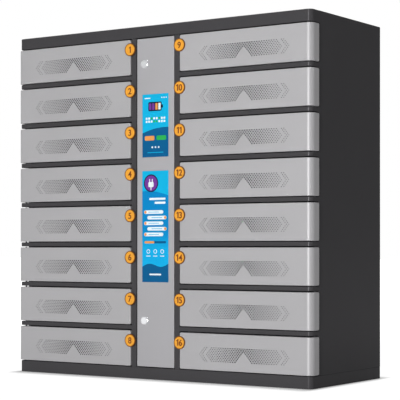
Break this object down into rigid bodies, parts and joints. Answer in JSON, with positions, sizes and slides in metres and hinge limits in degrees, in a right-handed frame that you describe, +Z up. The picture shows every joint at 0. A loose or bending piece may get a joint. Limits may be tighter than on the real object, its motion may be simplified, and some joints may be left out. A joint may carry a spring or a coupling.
{
  "type": "laptop charging cabinet",
  "caption": "Steel charging cabinet with two columns of numbered locker doors that wrap round the corners, a service bay with display and cam locks between them.",
  "frame": {"origin": "middle of the carcass footprint, on the floor", "axes": "+Z up, the doors face -Y, +X to the right as seen from the front"},
  "size_m": [1.096, 0.434, 1.08],
  "materials": {
    "door_paint": "satin powder coat, pale grey",
    "frame_paint": "satin powder coat, charcoal",
    "shelf_steel": "satin powder coat, mid grey",
    "badge_plastic": "gloss, orange",
    "display_glass": "clear, over a lit picture",
    "display_case": "matt, black",
    "info_film": "printed film, blue",
    "lock_chrome": "polished",
    "lock_steel": "zinc plated",
    "latch_steel": "zinc plated",
    "black_plastic": "matt, black",
    "duct_plastic": "matt, grey",
    "board_laminate": "matt, green",
    "supply_case": "mill finish"
  },
  "bodies": {
    "cabinet": {"base": "frame_paint", "top_cover": "frame_paint", "centre_posts": "frame_paint", "cross_rails": "frame_paint", "side_panel_left": "frame_paint", "side_panel_right": "frame_paint", "back_panel": "frame_paint", "partitions": "shelf_steel", "shelves_left": "shelf_steel", "shelves_right": "shelf_steel", "door_latches": "latch_steel", "charging_outlets": "black_plastic", "power_supply": "supply_case", "control_board": "board_laminate", "wiring_ducts": "duct_plastic", "mains_inlet": "black_plastic"},
    "locker_door_01": {"door_01": "door_paint", "badge_01": "badge_plastic"},
    "locker_door_02": {"door_02": "door_paint", "badge_02": "badge_plastic"},
    "locker_door_03": {"door_03": "door_paint", "badge_03": "badge_plastic"},
    "locker_door_04": {"door_04": "door_paint", "badge_04": "badge_plastic"},
    "locker_door_05": {"door_05": "door_paint", "badge_05": "badge_plastic"},
    "locker_door_06": {"door_06": "door_paint", "badge_06": "badge_plastic"},
    "locker_door_07": {"door_07": "door_paint", "badge_07": "badge_plastic"},
    "locker_door_08": {"door_08": "door_paint", "badge_08": "badge_plastic"},
    "locker_door_09": {"door_09": "door_paint", "badge_09": "badge_plastic"},
    "locker_door_10": {"door_10": "door_paint", "badge_10": "badge_plastic"},
    "locker_door_11": {"door_11": "door_paint", "badge_11": "badge_plastic"},
    "locker_door_12": {"door_12": "door_paint", "badge_12": "badge_plastic"},
    "locker_door_13": {"door_13": "door_paint", "badge_13": "badge_plastic"},
    "locker_door_14": {"door_14": "door_paint", "badge_14": "badge_plastic"},
    "locker_door_15": {"door_15": "door_paint", "badge_15": "badge_plastic"},
    "locker_door_16": {"door_16": "door_paint", "badge_16": "badge_plastic"},
    "service_door": {"service_door": "door_paint", "display_glass": "display_glass", "display_module": "display_case", "info_panel": "info_film", "lock_housings": "lock_chrome"},
    "lock_plug_low": {"lock_plug_low": "lock_steel", "lock_cam_low": "latch_steel"},
    "lock_cover_low": {"lock_cover_low": "lock_chrome"},
    "lock_plug_high": {"lock_plug_high": "lock_steel", "lock_cam_high": "latch_steel"},
    "lock_cover_high": {"lock_cover_high": "lock_chrome"}
  },
  "joints": [
    {"name": "door_01_hinge", "type": "hinge", "parent": "cabinet", "child": "locker_door_01", "pos_m": [-0.54, -0.1855, 0.98713], "axis": [0, 0, -1], "range_deg": [0, 100]},
    {"name": "door_02_hinge", "type": "hinge", "parent": "cabinet", "child": "locker_door_02", "pos_m": [-0.54, -0.1855, 0.85938], "axis": [0, 0, -1], "range_deg": [0, 100]},
    {"name": "door_03_hinge", "type": "hinge", "parent": "cabinet", "child": "locker_door_03", "pos_m": [-0.54, -0.1855, 0.73162], "axis": [0, 0, -1], "range_deg": [0, 100]},
    {"name": "door_04_hinge", "type": "hinge", "parent": "cabinet", "child": "locker_door_04", "pos_m": [-0.54, -0.1855, 0.60388], "axis": [0, 0, -1], "range_deg": [0, 100]},
    {"name": "door_05_hinge", "type": "hinge", "parent": "cabinet", "child": "locker_door_05", "pos_m": [-0.54, -0.1855, 0.47613], "axis": [0, 0, -1], "range_deg": [0, 100]},
    {"name": "door_06_hinge", "type": "hinge", "parent": "cabinet", "child": "locker_door_06", "pos_m": [-0.54, -0.1855, 0.34837], "axis": [0, 0, -1], "range_deg": [0, 100]},
    {"name": "door_07_hinge", "type": "hinge", "parent": "cabinet", "child": "locker_door_07", "pos_m": [-0.54, -0.1855, 0.22062], "axis": [0, 0, -1], "range_deg": [0, 100]},
    {"name": "door_08_hinge", "type": "hinge", "parent": "cabinet", "child": "locker_door_08", "pos_m": [-0.54, -0.1855, 0.09287], "axis": [0, 0, -1], "range_deg": [0, 100]},
    {"name": "door_09_hinge", "type": "hinge", "parent": "cabinet", "child": "locker_door_09", "pos_m": [0.54, -0.1855, 0.98713], "axis": [0, 0, 1], "range_deg": [0, 100]},
    {"name": "door_10_hinge", "type": "hinge", "parent": "cabinet", "child": "locker_door_10", "pos_m": [0.54, -0.1855, 0.85938], "axis": [0, 0, 1], "range_deg": [0, 100]},
    {"name": "door_11_hinge", "type": "hinge", "parent": "cabinet", "child": "locker_door_11", "pos_m": [0.54, -0.1855, 0.73162], "axis": [0, 0, 1], "range_deg": [0, 100]},
    {"name": "door_12_hinge", "type": "hinge", "parent": "cabinet", "child": "locker_door_12", "pos_m": [0.54, -0.1855, 0.60388], "axis": [0, 0, 1], "range_deg": [0, 100]},
    {"name": "door_13_hinge", "type": "hinge", "parent": "cabinet", "child": "locker_door_13", "pos_m": [0.54, -0.1855, 0.47613], "axis": [0, 0, 1], "range_deg": [0, 100]},
    {"name": "door_14_hinge", "type": "hinge", "parent": "cabinet", "child": "locker_door_14", "pos_m": [0.54, -0.1855, 0.34837], "axis": [0, 0, 1], "range_deg": [0, 100]},
    {"name": "door_15_hinge", "type": "hinge", "parent": "cabinet", "child": "locker_door_15", "pos_m": [0.54, -0.1855, 0.22062], "axis": [0, 0, 1], "range_deg": [0, 100]},
    {"name": "door_16_hinge", "type": "hinge", "parent": "cabinet", "child": "locker_door_16", "pos_m": [0.54, -0.1855, 0.09287], "axis": [0, 0, 1], "range_deg": [0, 100]},
    {"name": "service_door_hinge", "type": "hinge", "parent": "cabinet", "child": "service_door", "pos_m": [0.0654, -0.2089, 0.54], "axis": [0, 0, 1], "range_deg": [0, 95]},
    {"name": "lock_low_turn", "type": "hinge", "parent": "service_door", "child": "lock_plug_low", "pos_m": [-0.04, -0.2, 0.179], "axis": [0, -1, 0], "range_deg": [0, 90]},
    {"name": "cover_low_swing", "type": "hinge", "parent": "service_door", "child": "lock_cover_low", "pos_m": [-0.0308, -0.216, 0.1882], "axis": [0, -1, 0], "range_deg": [0, 110]},
    {"name": "lock_high_turn", "type": "hinge", "parent": "service_door", "child": "lock_plug_high", "pos_m": [-0.04, -0.2, 0.963], "axis": [0, -1, 0], "range_deg": [0, 90]},
    {"name": "cover_high_swing", "type": "hinge", "parent": "service_door", "child": "lock_cover_high", "pos_m": [-0.0308, -0.216, 0.9722], "axis": [0, -1, 0], "range_deg": [0, 110]}
  ]
}
